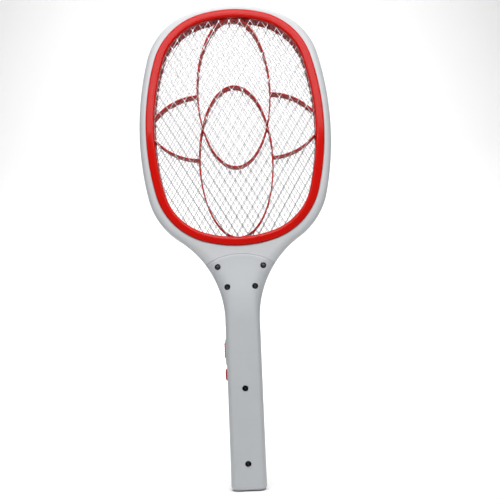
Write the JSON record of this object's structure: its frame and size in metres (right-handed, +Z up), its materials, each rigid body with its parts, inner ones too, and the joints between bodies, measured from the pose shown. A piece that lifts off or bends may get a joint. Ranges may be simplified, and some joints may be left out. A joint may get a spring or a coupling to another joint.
{
  "type": "electric fly swatter",
  "caption": "Racket-shaped electric fly swatter: metal nets and oval ribs clamped by rings in a hoop, on a hollow grip with a slide switch, a push button and a slide-out plug.",
  "frame": {"origin": "centre of the grip's bottom end, where the hand's hold begins", "axes": "+Z up the grip to the top of the hoop, -Y out of the rear side that has the screws, +X to the right seen from the rear"},
  "size_m": [0.1978, 0.0306, 0.4955],
  "materials": {
    "shell_grey": "satin moulded plastic",
    "cover_grey": "satin moulded plastic",
    "ring_red": "glossy moulded plastic",
    "rib_red": "glossy moulded plastic",
    "control_red": "semi-gloss moulded plastic",
    "net_metal": "bright expanded sheet",
    "screw_steel": "zinc plated steel",
    "spring_steel": "spring wire",
    "switch_metal": "tinned steel",
    "board_green": "solder-masked board",
    "ferrite": "sintered ferrite",
    "black_plastic": "moulded plastic",
    "copper_wire": "enamelled copper wire",
    "capacitor_brown": "dipped resin",
    "capacitor_orange": "dipped resin",
    "capacitor_blue": "dipped resin",
    "resistor_tan": "lacquered film resistor",
    "lamp_red": "tinted epoxy lamp",
    "cell_green": "shrink sleeve",
    "lead_plastic": "insulated lead",
    "brass_plated": "plated brass"
  },
  "bodies": {
    "racket": {"body_shell": "shell_grey", "rear_cover": "cover_grey", "cover_screws": "screw_steel", "rear_ring": "ring_red", "front_ring": "ring_red", "rear_rib_frame": "rib_red", "front_rib_frame": "rib_red", "rear_net": "net_metal", "centre_net": "net_metal", "front_net": "net_metal", "push_spring": "spring_steel", "slide_switch": "switch_metal", "push_switch": "black_plastic", "circuit_board": "board_green", "transformer_core": "ferrite", "transformer_bobbin": "black_plastic", "transformer_winding": "copper_wire", "high_voltage_capacitor": "capacitor_brown", "charging_capacitor": "capacitor_orange", "multiplier_capacitors": "capacitor_blue", "multiplier_diodes": "black_plastic", "resistors": "resistor_tan", "transistor": "black_plastic", "charge_light": "lamp_red", "battery_cells": "cell_green", "battery_tabs": "switch_metal", "battery_leads": "lead_plastic", "centre_net_lead": "lead_plastic", "outer_net_lead": "lead_plastic", "plug_contacts": "brass_plated", "plug_leads": "lead_plastic"},
    "slide_knob": {"slide_knob": "control_red"},
    "push_button": {"push_button": "control_red"},
    "plug": {"plug_carriage": "black_plastic", "plug_blades": "brass_plated", "plug_thumb_slider": "black_plastic"}
  },
  "joints": [
    {"name": "slide_switch_travel", "type": "slide", "parent": "racket", "child": "slide_knob", "axis": [0, 0, -1], "range_m": [0, 0.004]},
    {"name": "push_button_travel", "type": "slide", "parent": "racket", "child": "push_button", "axis": [1, 0, 0], "range_m": [0, 0.0015], "stiffness_N_per_m": 600, "springref_m": -0.001, "deforming": ["push_spring"]},
    {"name": "plug_travel", "type": "slide", "parent": "racket", "child": "plug", "axis": [0, 0, -1], "range_m": [0, 0.016]}
  ]
}
